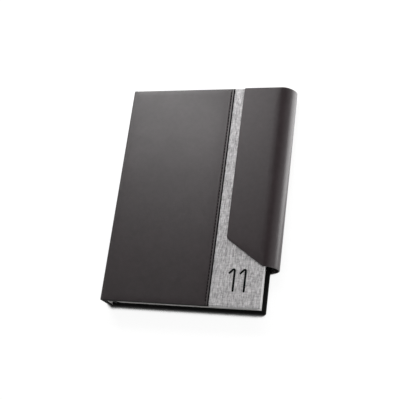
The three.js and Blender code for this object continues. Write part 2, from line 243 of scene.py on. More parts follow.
def charcoal_leather(place, shine):
    wander = noise(place, 700.0, 1.0, output="Color")
    bent = add_node(place.tree, "ShaderNodeVectorMath", wander, GRAIN_WANDER, place,
                    operation="MULTIPLY_ADD")[0]
    valley = add_node(place.tree, "ShaderNodeTexVoronoi", Vector=bent, Scale=GRAINS_PER_METRE,
                      feature="DISTANCE_TO_EDGE")["Distance"]
    dome = ramp(valley, 0.0, 0.2, curve="SMOOTHSTEP")
    pores, mottle = noise(place, 2600.0), noise(place, 260.0, 3.0, 0.6)
    cloudy = ramp(noise(place, 22.0, 3.0), 0.35, 0.65)
    shade = cloudy * 0.35 + ramp(mottle, 0.35, 0.65) * 0.4 + dome * 0.25
    # Rubbed wear and painted highlight on the seam's ridge and the spine's fold.
    rub_and_highlight_share = read_rub_and_highlight(place) * ramp(mottle, 0.1, 0.7)
    return dict(Base_Color=mix(rub_and_highlight_share, mix(shade, LEATHER_DARK, LEATHER_LIGHT), LEATHER_RUB_AND_HIGHLIGHT),
                Roughness=cloudy * -0.05 + LEATHER_ROUGHNESS, Specular_IOR_Level=shine,
                Normal=bump(dome + mottle * 4.0 + pores * 0.3, GRAIN_RELIEF, 0.36))


LEATHER = make_finish("charcoal_leather", charcoal_leather, 0.9)
FLAP_LEATHER = make_finish("flap_leather", charcoal_leather, 0.73)

# %% [markdown]
# ## Painted edge shade
# Where the leather turns over its boards, and where it is cut along the seam, the planner
# looks black and dull. These faces get a material of their own, nearly black with hardly
# any shine: painted shade for the shadow on these rims and in the gap at the lap.


# %% Edge dye
# Nearly black, dull skin: painted shade on the leather's rims and the seam's cut edge.
def edge_dye(place):
    skin = noise(place, 1500.0)
    return dict(Base_Color=mix(skin, grey(0.003), grey(0.009)), Roughness=0.8,
                Specular_IOR_Level=0.2, Normal=bump(skin, 0.00004, 0.6))


PAINTED_EDGE_SHADE = make_finish("edge_dye", edge_dye)
PAINTED_EDGE_SHADE_WIDTH = 1.0 * MM

# %% [markdown]
# ## Heathered linen
# The light panel is a plain-weave cloth of mixed grey yarns. Each yarn has its own tone,
# which changes slowly along its length, so the cloth shows short pale and dark dashes, most
# of them along the height. A yarn's number is the whole part of the place across it, and a
# noise is read at that number and at the place along it. Warp and weft take turns on top.
# The pattern reads the sheet's own cutting plan, kept as a UV map in metres, so the threads
# stay straight where the cloth turns round the board.

# %% Heathered linen
THREADS_PER_METRE = 1500.0
DASHES_PER_THREAD = 0.13
YARN_STEP = 3.7
WEFT_APART = 50.0
LINEN_DARK = (0.215, 0.208, 0.211, 1.0)
LINEN_LIGHT = (0.665, 0.650, 0.657, 1.0)


def heather_linen(place):
    plan = add_node(place.tree, "ShaderNodeUVMap", uv_map="cutting_plan")[0]
    across, along, _ = split(stretched(plan, THREADS_PER_METRE, THREADS_PER_METRE))
    column, row = across.math("FLOOR"), along.math("FLOOR")
    warp_place = add_node(place.tree, "ShaderNodeCombineXYZ", column * YARN_STEP,
                          along * DASHES_PER_THREAD)[0]
    weft_place = add_node(place.tree, "ShaderNodeCombineXYZ", across * DASHES_PER_THREAD,
                          row * YARN_STEP, WEFT_APART)[0]
    warp = ramp(noise(warp_place, 1.0, 1.0), 0.30, 0.70)
    weft = ramp(noise(weft_place, 1.0, 1.0), 0.22, 0.78)
    on_top = ((column + row) * 0.5).math("FRACT").math("GREATER_THAN", 0.25)
    lean = ramp(on_top, 0.0, 1.0, 0.15, 0.70)
    slubs = noise(stretched(plan, 620.0, 46.0), 1.0)
    tone = warp * (1.0 - lean) + weft * lean + slubs * 0.7
    cloth = mix(ramp(tone, 0.45, 1.25), LINEN_DARK, LINEN_LIGHT)
    rounds = [(way.math("FRACT") * math.pi).math("SINE") for way in (across, along)]
    weave = rounds[0] * (1.0 - on_top) + rounds[1] * on_top
    # Painted highlight: paler cloth along the folds at the free edges.
    return dict(Base_Color=mix(read_rub_and_highlight(place), cloth, grey(0.86)), Roughness=0.88,
                Sheen_Weight=0.15, Normal=bump(weave, 0.00012, 0.6))


LINEN = make_finish("heather_linen", heather_linen)

# %% [markdown]
# ## Papers, boards and small parts
# Inside there are black endpapers, white ruled pages, grey boards, a foam pad, steel
# magnets and striped bands. Each is one fibre, line or thread pattern over a plain tone.


# %% Black endpaper and grey board
def fibre_paper(place, dark, light, roughness):
    fibres = noise(stretched(place, 900.0, 260.0, 900.0), 1.0, 4.0, 0.65)
    share = ramp(fibres + noise(place, 60.0), 0.7, 1.3)
    return dict(Base_Color=mix(share, dark, light), Roughness=roughness,
                Specular_IOR_Level=0.25, Normal=bump(fibres, 0.00003, 0.5))


BLACK_PAPER = make_finish("black_endpaper", fibre_paper, grey(0.003), grey(0.007), 0.8)
SPINE_PAPER = make_finish("spine_paper", fibre_paper, grey(0.62, 0.02), grey(0.75, 0.02), 0.9)
GREY_BOARD = make_finish("grey_board", fibre_paper, grey(0.2, 0.05), grey(0.3, 0.05), 0.95)
FOAM = make_finish("foam_pad", fibre_paper, grey(0.14), grey(0.2), 1.0)

# %% Page paper: ruled faces, and fine lines of leaf edges round the block
RULE_GAP = 7 * MM
RULE_SHARE = 0.035


def page_paper(place):
    facing = add_node(place.tree, "ShaderNodeTexCoord")["Normal"]
    on_face = split(facing)[2].math("ABSOLUTE").math("GREATER_THAN", 0.95)
    ruling = split(place)[1].math("DIVIDE", RULE_GAP).math("FRACT")
    leaves = noise(stretched(place, 8.0, 8.0, 9000.0), 1.0, 2.0, 0.7)
    bundles = noise(stretched(place, 14.0, 14.0, 1500.0), 1.0, 1.0)
    edges = leaves * 0.45 + bundles * 0.55
    sides = 1.0 - on_face
    paper = mix(ramp(edges, 0.36, 0.64) * sides, grey(0.8, 0.015), grey(0.52, 0.02))
    rule = ruling.math("LESS_THAN", RULE_SHARE) * on_face
    return dict(Base_Color=mix(rule, paper, grey(0.36)), Roughness=0.85,
                Normal=bump(edges * sides, 0.0001, 0.6))


PAGES = make_finish("page_paper", page_paper)


# %% Bands, gauze, lining cloth and steel
def striped_band(place):
    stripes = wave(place, "Z", 210.0, 0.4)
    return dict(Base_Color=mix(stripes.math("GREATER_THAN", 0.5), grey(0.012), grey(0.05)),
                Roughness=0.8, Normal=bump(stripes, 0.0001, 0.8))


def woven_cloth(place, dark, light, threads_per_metre):
    warp, weft = [wave(place, axis, threads_per_metre / 6.3, 0.3) for axis in "XY"]
    weave = warp * weft
    return dict(Base_Color=mix(weave, dark, light), Roughness=0.85, Sheen_Weight=0.1,
                Normal=bump(weave, 0.00006, 0.6))


def brushed_steel(place):
    streaks = noise(stretched(place, 4000.0, 200.0, 4000.0), 1.0)
    return dict(Base_Color=mix(streaks, grey(0.5), grey(0.7)), Metallic=1.0,
                Roughness=ramp(streaks, -0.6, 2.0))


BAND = make_finish("striped_band", striped_band)
GAUZE = make_finish("mull_gauze", woven_cloth, grey(0.01), grey(0.03), 1400.0)
LINING = make_finish("lining_cloth", woven_cloth, grey(0.008), grey(0.02), 2800.0)
STEEL = make_finish("magnet_steel", brushed_steel)

# %% [markdown]
# ## Finishes on the solids that stay
# The boards, papers, pages, bands and magnets are already true to shape in the frame, so
# they only change their material.

# %% Dress the solids that stay
FINISH_OF = {
    "board": GREY_BOARD, "flap_card": GREY_BOARD, "front_pad": FOAM,
    "endpaper": BLACK_PAPER, "pastedown": BLACK_PAPER, "flyleaf": BLACK_PAPER,
    "spine_lining": SPINE_PAPER, "signature": PAGES, "leaves": PAGES,
    "band": BAND, "mull": GAUZE, "magnet": STEEL, "keeper": STEEL,
}
for node_name, node in nodes.items():
    found = [finish for part, finish in FINISH_OF.items() if part in node_name]
    if found:
        node.data.materials.clear()
        node.data.materials.append(found[0])
        for polygon in node.data.polygons:
            polygon.material_index = 0
print("dressed:", sum(1 for n in nodes if any(part in n for part in FINISH_OF)))

# %% [markdown]
# ## Sheets that fold round a board
# A binder cuts leather or cloth flat, wider than its board, and folds the spare rim round
# the edge and down on the inside. So does this builder. An outline gives the sheet's
# visible face in a flat plan (s across, t along the height). Sides marked as rimmed get
# a rim: a rounded fold, a wall, a second fold and a turn-in. Four corners are marks, which
# are the corners of the grid that fills the face. A side also lists its stops, the places
# where the grid's lines start. A function then bends the plan into its place. One builder
# makes every leather and cloth piece this way.


# %% Trace the outline: its points, the way inward from each, where rims run, the marks
Corner = namedtuple("Corner", "x y radius steps is_mark", defaults=(0, 0, True))
LEAST_ROUND = 0.5 * MM
LONGEST_ZONE = 20 * MM


def trace(corners, sides, inset=0.0):
    count = len(corners)
    points = np.array([corner[:2] for corner in corners], float)
    along = np.roll(points, -1, axis=0) - points
    lengths = np.linalg.norm(along, axis=1)
    along /= lengths[:, None]
    inward = np.stack([-along[:, 1], along[:, 0]], axis=1)
    rimmed = [side[0] for side in sides]
    drawn = np.array([inset if rim else 0.0 for rim in rimmed])
    halves = [math.acos(np.clip(along[i - 1] @ along[i], -1, 1)) / 2 for i in range(count)]
    slopes = [math.tan(half) for half in halves]
    radii = [max(c.radius - inset, LEAST_ROUND) if c.radius else 0.0 for c in corners]
    meetings = [np.linalg.solve(inward[[i - 1, i]], inward[[i - 1, i]] @ points[i]
                                + drawn[[i - 1, i]]) for i in range(count)]
    loop, inwards, marks, rims = [], [], [], []
    for i, corner in enumerate(corners):
        radius, middle_step = radii[i], corner.steps / 2
        if radius:
            middle = meetings[i] + (inward[i - 1] + inward[i]) * radius / (
                2 * math.cos(halves[i]) ** 2)
            for step in range(corner.steps + 1):
                angle = 2 * halves[i] * step / corner.steps
                c, s = math.cos(angle), math.sin(angle)
                x, y = inward[i - 1]
                direction = np.array([c * x - s * y, s * x + c * y])
                if corner.is_mark and step == middle_step:
                    marks.append(len(loop))
                loop.append(middle - direction * radius)
                inwards.append(direction)
                rims.append(step < corner.steps or rimmed[i])
        else:
            if corner.is_mark:
                marks.append(len(loop))
            loop.append(meetings[i])
            inwards.append(inward[i - 1] * rimmed[i - 1] + inward[i] * rimmed[i])
            rims.append(rimmed[i])
        following = (i + 1) % count
        start = corner.radius * slopes[i]
        end = lengths[i] - corners[following].radius * slopes[following]
        new_start = (meetings[i] - points[i]) @ along[i] + radius * slopes[i]
        new_end = ((meetings[following] - points[i]) @ along[i]
                   - radii[following] * slopes[following])
        zone = min(LONGEST_ZONE, 0.45 * (end - start))
        for distance in sides[i][1]:
            if distance < start + zone:
                share = (distance - start) / zone
                distance = new_start + share * (start + zone - new_start)
            elif distance > end - zone:
                share = (end - distance) / zone
                distance = new_end - share * (new_end - end + zone)
            loop.append(points[i] + along[i] * distance + inward[i] * drawn[i])
            inwards.append(inward[i] * rimmed[i])
            rims.append(rimmed[i])
    shift = -marks[0]
    rolled = [np.roll(np.array(part), shift, axis=0) for part in (loop, inwards, rims)]
    return *rolled, [mark + shift for mark in marks]


# %% Give each side marked "across" the stops of the side over from it
def matched(corners, sides):
    known = [(rimmed, () if isinstance(stops, str) else stops) for rimmed, stops in sides]
    loop, _, _, marks = trace(corners, known)
    runs = [[*loop, loop[0]][a:b + 1] for a, b in zip(marks, [*marks[1:], len(loop)])]
    filled, run_number = [], -1
    for i, (rimmed, stops) in enumerate(sides):
        corner, following = corners[i], corners[(i + 1) % len(corners)]
        run_number += corner.is_mark
        if isinstance(stops, str):
            start = np.array(corner[:2], float)
            along = np.array(following[:2], float) - start
            along /= np.linalg.norm(along)
            over = [(point - start) @ along for point in runs[(run_number + 2) % 4][::-1]]
            stops = over[1 + corner.steps // 2:len(over) - 1 - following.steps // 2]
        filled.append((rimmed, stops))
    return filled


# %% Fill the outline with a grid whose rows and columns follow its four sides
def fill_plan(loop, marks):
    _, right_start, head_start, left_start = marks
    tail = loop[:right_start + 1]
    right = loop[right_start:head_start + 1]
    head = loop[head_start:left_start + 1][::-1]
    left = np.concatenate([loop[left_start:], loop[:1]])[::-1]
    u = ((tail[:, 0] - tail[0, 0]) / (tail[-1, 0] - tail[0, 0]))[None, :, None]
    v = ((right[:, 1] - right[0, 1]) / (right[-1, 1] - right[0, 1]))[:, None, None]
    ruled = (1 - v) * tail[None] + v * head[None] + (1 - u) * left[:, None] + u * right[:, None]
    corners = ((1 - u) * (1 - v) * tail[0] + u * (1 - v) * tail[-1]
               + (1 - u) * v * head[0] + u * v * head[-1])
    return ruled - corners


# %% The rim's rings, from the face's edge round to the inside
def rim_rings(depth, rounding, thick, turned, turn_in, steps=4):
    angles = [math.pi / 2 * step / steps for step in range(1, steps + 1)]
    rings = [(rounding * (1 - math.sin(angle)), rounding * (1 - math.cos(angle)),
              rounding - rounding * angle, False) for angle in angles]
    wall_end = rings[-1][2] - (depth - 2 * rounding)
    rings.append((0 * depth, depth - rounding, wall_end, False))
    rings += [(rounding * (1 - math.cos(angle)), depth - rounding + rounding * math.sin(angle),
               wall_end - rounding * angle, False) for angle in angles]
    unrolled = rings[-1][2]
    if turn_in:
        unrolled = unrolled - (turn_in - rounding)
        rings.append((0 * depth, depth, unrolled, True))
        rings.append((0 * depth, depth - turned, unrolled, True))
    rings.append((thick + 0 * depth, depth - turned, unrolled, False))
    return rings


# %% Fold one sheet: its face, its rims and the cloth's own thickness
# Rim faces from halfway round the fold inwards get the painted edge shade.
PAINTED_SHADE_FROM_RING = 2


def flat(s, t):
    return 0 * s


def fold_sheet(name, corners, sides, place, depth_at, rounding, thick, finish,
               turned=None, turn_in=0.0, relief=flat, painted_shade_finish=None, rub_and_highlight=flat):
    sides = matched(corners, sides)
    outline, inwards, rims, marks = trace(corners, sides)
    deep = trace(corners, sides, turn_in)[0]
    depth = depth_at(outline[:, 0])
    soft = np.minimum(rounding, 0.49 * depth)
    verts, plans, faces, rub_and_highlight_share, painted_shade_faces = [], [], [], [], []

    def add_points(plan, depths, unrolled):
        verts.extend(place(*plan.T, depths))
        # Lighter colour at each point: painted highlight, on leather also rubbed wear.
        rub_and_highlight_share.extend(rub_and_highlight(*plan.T))
        plans.extend(unrolled)
        return np.arange(len(plans) - len(plan), len(plans))

    def add_face_grid(inset, level, relief):
        grid = fill_plan(outline + inwards * inset[:, None], marks)
        plan = grid.reshape(-1, 2)
        n = add_points(plan, level - relief(*plan.T), plan).reshape(grid.shape[:2])
        quads = np.stack([n[:-1, :-1], n[:-1, 1:], n[1:, 1:], n[1:, :-1]], axis=-1)
        faces.extend(quads.reshape(-1, 4))
        return np.concatenate([n[0, :-1], n[:-1, -1], n[-1, :0:-1], n[:0:-1, 0]])

    def add_strip(first, second, picked):
        for a, b in zip(picked[:-1], picked[1:]):
            faces.append((first[a], first[b], second[b], second[a]))

    outer = add_face_grid(soft, 0.0, relief)
    inner = add_face_grid(thick + 0 * soft, thick, flat)
    rings = [outer]
    for inset, level, unrolled, is_deep in rim_rings(depth, soft, thick, turned or thick, turn_in):
        plan = deep if is_deep else outline + inwards * inset[:, None]
        rings.append(add_points(plan, level, outline + inwards * unrolled[:, None]))
    rings.append(inner)
    count = len(outline)
    starts = [k for k in range(count) if rims[k] and not rims[k - 1]]
    for start in starts or [0]:
        run = [start]
        while rims[run[-1] % count] and len(run) <= count:
            run.append(run[-1] + 1)
        run = [k % count for k in run]
        for number, (first, second) in enumerate(zip(rings[:-1], rings[1:])):
            before = len(faces)
            add_strip(first, second, run)
            if number >= PAINTED_SHADE_FROM_RING:
                painted_shade_faces.extend(range(before, len(faces)))
        if starts:
            for end in (run[0], run[-1]):
                faces.append([ring[end] for ring in rings])
    for k in range(count):
        if not rims[k]:
            add_strip(outer, inner, [k, (k + 1) % count])

    piece = finished_mesh(name, verts, faces, plans, rub_and_highlight_share, finish)
    # The second material, painted edge shade, goes on the rim faces listed above.
    if painted_shade_finish:
        piece.data.materials.append(painted_shade_finish)
        for number in painted_shade_faces:
            piece.data.polygons[number].material_index = 1
    return piece


# %% Turn points and faces into a finished piece
SHARP_FROM = math.radians(38)


def finished_mesh(name, verts, faces, plans, rub_and_highlight_share, finish):
    mesh = bpy.data.meshes.new(name)
    mesh.from_pydata([tuple(v) for v in verts], [], [tuple(f) for f in faces])
    # Per-point painted highlight, on leather also rubbed wear, for the finishes to read.
    mesh.attributes.new("rub_and_highlight", "FLOAT", "POINT").data.foreach_set("value", rub_and_highlight_share)
    plan_map = mesh.uv_layers.new(name="cutting_plan")
    for corner in mesh.loops:
        plan_map.data[corner.index].uv = plans[corner.vertex_index]
    tidy = bmesh.new()
    tidy.from_mesh(mesh)
    loose = [v for v in tidy.verts if not v.link_faces]
    bmesh.ops.delete(tidy, geom=loose, context="VERTS")
    bmesh.ops.recalc_face_normals(tidy, faces=tidy.faces)
    tidy.to_mesh(mesh)
    tidy.free()
    mesh.polygons.foreach_set("use_smooth", [True] * len(mesh.polygons))
    mesh.set_sharp_from_angle(angle=SHARP_FROM)
    mesh.materials.append(finish)
    return placed(name, mesh)


def report(piece):
    lengths = np.ptp([v.co for v in piece.data.vertices], axis=0) / MM
    size = " x ".join(f"{length:.1f}" for length in lengths)
    triangles = sum(len(p.vertices) - 2 for p in piece.data.polygons)
    print(f"{piece.name}: {size} mm, {triangles} triangles")


# %% [markdown]
# ## Bending a plan along a section
# The spine, the covers and the flap are all straight along the height, so bending a sheet
# means following one curve in X and Z. The curve is sampled finely, and a plan's distance
# s is looked up along it, with the depth laid off square to the curve.


# %% Follow a section curve
def along_section(section, outward_left):
    section = np.array(section, float)
    gaps = np.linalg.norm(np.diff(section, axis=0), axis=1)
    section = section[np.concatenate([[True], gaps > 1e-9])]
    distance = np.concatenate([[0], np.cumsum(np.linalg.norm(np.diff(section, axis=0), axis=1))])
    tangent = np.gradient(section, distance, axis=0)
    tangent /= np.linalg.norm(tangent, axis=1)[:, None]
    side = 1 if outward_left else -1
    outward = side * np.stack([-tangent[:, 1], tangent[:, 0]], axis=1)

    def place(s, t, depth):
        x, z = [np.interp(s, distance, section[:, k]) - depth * np.interp(
            s, distance, outward[:, k]) for k in (0, 1)]
        return np.stack([x, t, z], axis=1)

    return place, distance[-1]


def arc(middle_x, middle_z, radius, start, end, steps=24):
    angles = np.radians(np.linspace(start, end, steps + 1))
    return np.stack([middle_x + radius * np.cos(angles), middle_z + radius * np.sin(angles)], 1)


def even(start, end, step):
    return np.linspace(start, end, max(1, round((end - start) / step)) + 1)


def laid_flat(start_x, face_z):
    return lambda s, t, depth: np.stack([start_x + s, t, face_z - depth], axis=1)


def full_height(width, stops, up_stops, radius=0, steps=0):
    corners = [Corner(0, TAIL_Y), Corner(width, TAIL_Y, radius, steps),
               Corner(width, HEAD_Y, radius, steps), Corner(0, HEAD_Y)]
    closed = radius > 0
    return corners, [(True, stops), (closed, up_stops), (True, (width - stops)[::-1]),
                     (False, "across" if closed else up_stops)]


print("sheet builder ready")

# %% [markdown]
# ## The leather's sizes
# The leather is 0.6 mm thick, folds over its boards with a radius of about a millimetre
# and turns in by 14 mm. Where no board lies between the layers, beside the spine, the
# folded leather is only two layers deep.

# %% Sizes of the leather work
LEATHER_THICK = 0.6 * MM
TURN_IN = 14 * MM
EDGE_ROUND = 1.0 * MM
SPINE_ROUND = 1.6 * MM
TWO_LAYERS = 1.25 * MM
SPINE_DEPTH = 2.9 * MM
BOARD_START_X = SPINE_X + 4.5 * MM
STEP_AHEAD = 0.65 * MM
HINGE_START_X = SPINE_X + SPINE_ROUND
HINGE_END_X = SPINE_X + 2.2 * MM
STITCH_COUNT = 66
STITCH_PITCH = HEIGHT / STITCH_COUNT


def stepped(values, stops, depths, run=0.35 * MM):
    return np.interp(values, [v for stop in stops for v in (stop - run, stop)],
                     [v for pair in zip(depths[:-1], depths[1:]) for v in pair])


print(f"stitch pitch {STITCH_PITCH / MM:.2f} mm")

# %% [markdown]
# ## Back cover and spine
# One leather runs from the front hinge over the spine and across the back cover. It is
# cut as a rectangle, rimmed at the tail, the fore edge and the head, and left open at
# the hinge, where the next strip joins on.

# %% Back cover and spine leather
top_arc = arc(SPINE_X + SPINE_ROUND, LEATHER_FACE - SPINE_ROUND, SPINE_ROUND, 90, 180)
bottom_arc = arc(SPINE_X + SPINE_ROUND, SPINE_ROUND, SPINE_ROUND, 180, 270)
back_place, back_length = along_section(
    [*top_arc, *bottom_arc, *[(x, 0.0) for x in even(SPINE_X + 2 * MM, BACK_FORE_X, 5 * MM)]],
    outward_left=False)
quarter = SPINE_ROUND * math.pi / 2
spine_end = quarter + LEATHER_FACE - 2 * SPINE_ROUND
floor_start = spine_end + quarter
board_step = floor_start + BOARD_START_X - SPINE_X - SPINE_ROUND - STEP_AHEAD


def back_depth(s):
    return stepped(s, [quarter + 0.4 * MM, spine_end, board_step],
                   [TWO_LAYERS, SPINE_DEPTH, TWO_LAYERS, BACK_TOP])


CORNER_ROUND = 1.4 * MM
CORNER_STEPS = 6
SPINE_RUB_AND_HIGHLIGHT = 0.16
back_stops = np.concatenate([
    np.linspace(0, quarter, 9)[1:], quarter + np.array([0.2, 0.4, 1.0]) * MM,
    even(quarter + 4 * MM, spine_end - 4 * MM, 4 * MM),
    spine_end + np.array([-0.7, -0.35]) * MM, np.linspace(spine_end, floor_start, 9),
    floor_start + np.array([0.8, 1.4]) * MM, board_step + np.array([-0.35, 0, 0.6]) * MM,
    even(board_step + 4 * MM, back_length - 4 * MM, 5 * MM),
    back_length - np.array([2.6, 1.8]) * MM,
])
height_stops = np.concatenate([
    [2.5 * MM, 4 * MM], even(8 * MM, HEIGHT - 8 * MM, 5 * MM),
    HEIGHT - np.array([4, 2.5]) * MM])


# A lighter band along the spine's top fold: a painted highlight where the fold catches light, and
# rubbed wear.
def spine_rub_and_highlight(s, t):
    return SPINE_RUB_AND_HIGHLIGHT * np.exp(-((s - 0.55 * quarter) / (0.45 * quarter)) ** 2)


back_leather = fold_sheet(
    "back_leather_cover",
    *full_height(back_length, back_stops, height_stops, CORNER_ROUND, CORNER_STEPS),
    back_place, back_depth, EDGE_ROUND, LEATHER_THICK, LEATHER, turn_in=TURN_IN,
    painted_shade_finish=PAINTED_EDGE_SHADE, rub_and_highlight=spine_rub_and_highlight)
report(back_leather)
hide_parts("back_leather", "spine_leather")
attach(back_leather, "case_and_block")

# %% [markdown]
# ## Front leather, with its pressed seam
# The front leather lies over a thin foam pad and laps over the linen. A row of stitches
# holds the lap: the thread presses a groove into the leather, deepest where the needle
# went through, and a soft ridge stands up between the groove and the folded edge. This
# relief is part of the mesh, so the grid has a column every fifth of a millimetre or
# less there, and rows at each needle hole and halfway between two holes. The border that
# is turned in under the board is trimmed back at the hinge, so that it stays clear of the
# flyleaf when the cover lies open.


# %% Front leather
SEAM_INSET = 2.9 * MM
GROOVE_DEPTH = 0.30 * MM
GROOVE_WIDTH = 0.5 * MM
RIDGE = 0.13 * MM
EDGE_ROLL = 1.2 * MM
EDGE_DROP = 0.56 * MM
RIDGE_RUN = 1.4 * MM
RIDGE_MIDDLE = 1.25 * MM
RIDGE_RUB_AND_HIGHLIGHT = 0.55
PAD_CROWN = 0.16 * MM
PAD_CROWN_RUN = 9 * MM
TRIM_BACK = 1.0 * MM
END_FADE = 3 * MM
seam_x = LEATHER_EDGE_X - SEAM_INSET
front_length = LEATHER_EDGE_X - HINGE_END_X
front_step = BOARD_START_X - HINGE_END_X - STEP_AHEAD


def eased(value, reach):
    share = np.clip(value / reach, 0, 1)
    return share * share * (3 - 2 * share)


def front_place(s, t, depth):
    under_board = eased(depth - 3 * MM, 0.6 * MM)
    trimmed = TRIM_BACK * under_board * (1 - eased(s, 4 * MM))
    return np.stack([HINGE_END_X + s + trimmed, t, LEATHER_FACE - depth], axis=1)


def front_depth(s):
    return stepped(s, [front_step], [TWO_LAYERS, LEATHER_FACE - COVER_UNDER])


def front_relief(s, t):
    from_seam = HINGE_END_X + s - seam_x
    to_edge = front_length - s
    from_ends = np.minimum(t - TAIL_Y, HEAD_Y - t) - EDGE_ROUND
    under = 0.5 - 0.5 * np.cos(2 * math.pi * (t - TAIL_Y) / STITCH_PITCH)
    groove = GROOVE_DEPTH * (0.3 + 0.7 * under) * np.exp(-(from_seam / GROOVE_WIDTH) ** 2)
    ridge = RIDGE * eased(from_seam, RIDGE_RUN)
    crown = PAD_CROWN * eased(-from_seam - GROOVE_WIDTH, PAD_CROWN_RUN) * eased(s, 6 * MM)
    raised = (crown + ridge - groove) * eased(from_ends, END_FADE)
    rolled = 1 - np.sqrt(1 - np.clip(1 - to_edge / EDGE_ROLL, 0, 1) ** 2)
    return raised * (1 - rolled) - EDGE_DROP * rolled


# A lighter line along the ridge beside the seam: a painted highlight on the ridge, and rubbed
# wear.
def ridge_rub_and_highlight(s, t):
    from_seam = HINGE_END_X + s - seam_x
    return RIDGE_RUB_AND_HIGHLIGHT * np.exp(-((from_seam - RIDGE_MIDDLE) / (0.45 * MM)) ** 2)


front_stops = np.concatenate([
    [0.5 * MM, 1.0 * MM], front_step + np.array([-0.35, 0, 0.8]) * MM,
    even(front_step + 4 * MM, front_length - 12 * MM, 5 * MM),
    even(front_length - 9 * MM, front_length - 5 * MM, 1 * MM),
    even(front_length - 4.2 * MM, front_length - 1.6 * MM, 0.2 * MM), [front_length - 1.4 * MM],
    front_length - np.array([1.2, 1.05, 0.9, 0.75, 0.6, 0.46, 0.33, 0.21, 0.12, 0.05]) * MM,
])
stitch_stops = np.arange(1, 2 * STITCH_COUNT) * STITCH_PITCH / 2
front_leather = fold_sheet(
    "front_leather_cover", *full_height(front_length, front_stops, stitch_stops),
    front_place, front_depth, EDGE_ROUND, LEATHER_THICK, LEATHER, turn_in=TURN_IN,
    relief=front_relief, painted_shade_finish=PAINTED_EDGE_SHADE, rub_and_highlight=ridge_rub_and_highlight)
# The last millimetre at the lap gets the painted shade too, for the shadow in the gap there.
for polygon in front_leather.data.polygons:
    if polygon.center.x > LEATHER_EDGE_X - PAINTED_EDGE_SHADE_WIDTH:
        polygon.material_index = 1
report(front_leather)
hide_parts("front_leather")
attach(front_leather, "front_cover")

# %% [markdown]
# ## Hinge strip
# Between the spine and the front cover the leather bends when the cover is opened. This
# narrow strip is the same leather with the same section, and its two long edges meet its
# neighbours.

# %% Hinge strip
hinge_width = HINGE_END_X - HINGE_START_X
hinge_stops = np.linspace(0, hinge_width, 9)[1:-1]
hinge_strip = fold_sheet(
    "hinge_leather", *full_height(hinge_width, hinge_stops, height_stops),
    laid_flat(HINGE_START_X, LEATHER_FACE), lambda s: TWO_LAYERS + 0 * s, EDGE_ROUND,
    LEATHER_THICK, LEATHER, turn_in=TURN_IN, painted_shade_finish=PAINTED_EDGE_SHADE)
report(hinge_strip)
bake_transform(hinge_strip)

# %% [markdown]
# ## Linen panel
# The linen starts under the leather's lap, crosses the right third of the board and turns
# round its three free edges. Those folds are made paler, a painted highlight for their lit
# rim. The strip under the lap stays flat, so it is added to the same mesh as a plain
# tongue.

# %% Linen panel
FABRIC_THICK = 0.6 * MM
FABRIC_ROUND = 0.9 * MM
BUTT_GAP = 0.02 * MM
FOLD_PAINTED_HIGHLIGHT = 0.55
linen_start = LEATHER_EDGE_X + BUTT_GAP
linen_width = FORE_X - linen_start


# The linen's folds are made paler: a painted highlight for their lit rim.
def fold_painted_highlight(s, t):
    to_fold = np.minimum(linen_width - s, np.minimum(t - TAIL_Y, HEAD_Y - t))
    return FOLD_PAINTED_HIGHLIGHT * eased(0.75 * MM - to_fold, 0.7 * MM)


linen_stops = even(1.5 * MM, linen_width - 3 * MM, 3 * MM)
linen = fold_sheet(
    "linen_cover",
    *full_height(linen_width, linen_stops, height_stops, CORNER_ROUND, CORNER_STEPS),
    laid_flat(linen_start, FABRIC_FACE), lambda s: FABRIC_FACE - COVER_UNDER + 0 * s,
    FABRIC_ROUND, FABRIC_THICK, LINEN, turn_in=TURN_IN, rub_and_highlight=fold_painted_highlight)
tongue = bmesh.new()
tongue.from_mesh(linen.data)
made = bmesh.ops.create_cube(tongue, size=1.0)["verts"]
for vert in made:
    vert.co.x = LAP_START_X if vert.co.x < 0 else LEATHER_EDGE_X
    vert.co.y = TAIL_Y + 1 * MM if vert.co.y < 0 else HEAD_Y - 1 * MM
    vert.co.z = FABRIC_FACE - FABRIC_THICK if vert.co.z < 0 else FABRIC_FACE
tongue.to_mesh(linen.data)
tongue.free()
report(linen)
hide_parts("front_fabric")
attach(linen, "front_cover")

# %% [markdown]
# ## Closing flap and gusset
# One leather starts at the back cover's fore edge, swells round the pages as a soft
# gusset and lies over the front as a flap with a card inside. Its section is a flat
# stretch and two quarter curves. Each quarter is a superellipse with a power a little
# under two, fuller than a straight slope but flatter than a circle.

# %% Flap and gusset leather
FLAT_SHORTFALL = 1.7 * MM
SLANT_SHORTFALL = 1.3 * MM
GUSSET_POWER = 1.8
FLAP_CORNER_Y = TAIL_Y + 62 * MM
FLAP_CORNER_ROUND = 4 * MM
FLAP_HEAD_ROUND = 1.5 * MM
FLAP_ROUND = 0.7 * MM
FLAP_TURN_IN = 6 * MM
SKIVED = 0.25 * MM
CREASE_DEPTH = 0.32 * MM
CREASE_PAST_BEND = 1.5 * MM
CREASE_REACHES = 2.8 * MM, 4.5 * MM
apex_z = (flap_box[0].z + gusset_box[1].z) / 2
flap_depth_here = FLAP_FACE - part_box("flap_lining")[0].z
flat_end_x = FORE_X - FLAT_SHORTFALL


def quarter_curve(start_x, start_z):
    angles = np.linspace(0, math.pi / 2, 160)
    power = 2 / GUSSET_POWER
    x = start_x + (GUSSET_X - start_x) * np.sin(angles) ** power
    z = apex_z + (start_z - apex_z) * np.cos(angles) ** power
    return np.stack([x, z], axis=1)


